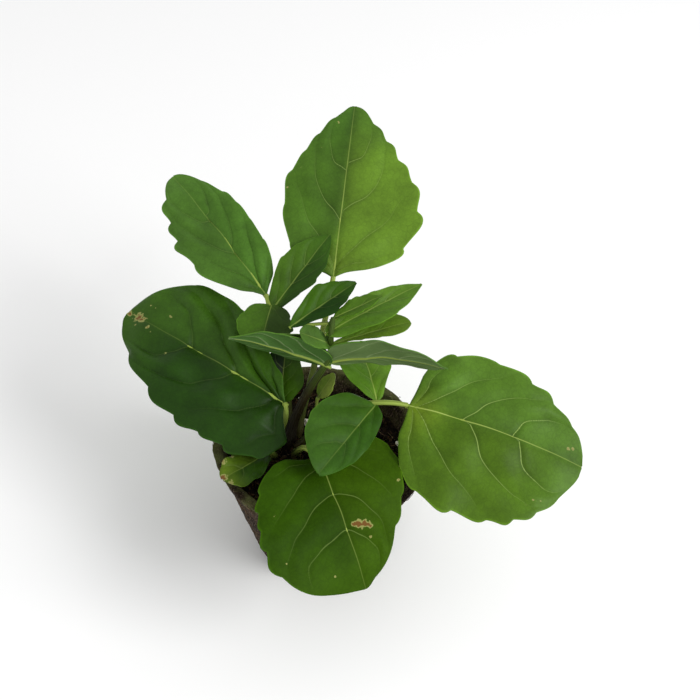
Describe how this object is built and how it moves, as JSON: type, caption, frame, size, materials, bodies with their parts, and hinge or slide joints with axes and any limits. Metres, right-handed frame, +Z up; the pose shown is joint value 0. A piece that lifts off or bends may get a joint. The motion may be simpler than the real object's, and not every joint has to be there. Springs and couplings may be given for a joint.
{
  "type": "potted valerian plant",
  "caption": "Young valerian plant with a rosette of toothed leaves on thin stalks, growing in a small round tapered fibre pot of dark peat soil.",
  "frame": {"origin": "centre of the pot's flat underside, on the surface it stands on", "axes": "+Z up along the pot's axis, +Y to the back, +X to the right as seen from the front"},
  "size_m": [0.1792, 0.1792, 0.1403],
  "materials": {
    "peat_fibre": "matte pressed peat fibre, damp and fibrous",
    "peat_soil": "loose damp crumb",
    "perlite_grain": "matte porous white grain",
    "stem": "satin green-brown stem",
    "leaf_stalk": "satin pale green stalk",
    "leaf": "satin leaf with sunken veins",
    "young_leaf": "satin young leaf",
    "leaf_underside": "matte pale underside of a leaf",
    "old_leaf": "yellowing leaf with brown edge"
  },
  "bodies": {
    "root": {"pot": "peat_fibre", "soil": "peat_soil", "perlite_1": "perlite_grain", "perlite_2": "perlite_grain", "perlite_3": "perlite_grain", "perlite_4": "perlite_grain", "perlite_5": "perlite_grain", "perlite_6": "perlite_grain", "perlite_7": "perlite_grain", "perlite_8": "perlite_grain", "main_stem": "stem", "right_leaf_stalk": "leaf_stalk", "left_leaf_stalk": "leaf_stalk", "left_inner_stalk": "leaf_stalk", "back_leaf_stalk": "leaf_stalk", "upper_left_leaf_stalk": "leaf_stalk", "front_leaf_stalk": "leaf_stalk", "old_leaf_stalk": "leaf_stalk", "sprout_stalk": "leaf_stalk", "top_left_stalk": "leaf_stalk", "back_leaf": "leaf", "upper_left_leaf": "leaf", "upper_left_side_leaflet": "young_leaf", "upper_left_front_leaflet": "young_leaf", "left_leaf": "leaf", "left_inner_leaf": "leaf", "right_leaf": "leaf", "right_back_leaflet": "leaf", "right_front_leaflet": "leaf", "front_leaf": "leaf", "pair_left_leaf": "leaf_underside", "pair_right_leaf": "leaf_underside", "pair_inner_leaf": "leaf_underside", "top_left_leaf": "young_leaf", "top_right_leaf": "young_leaf", "top_back_leaf": "young_leaf", "top_lower_leaf": "young_leaf", "top_front_leaf": "young_leaf", "old_leaf": "old_leaf", "sprout_leaf": "young_leaf"}
  },
  "joints": []
}
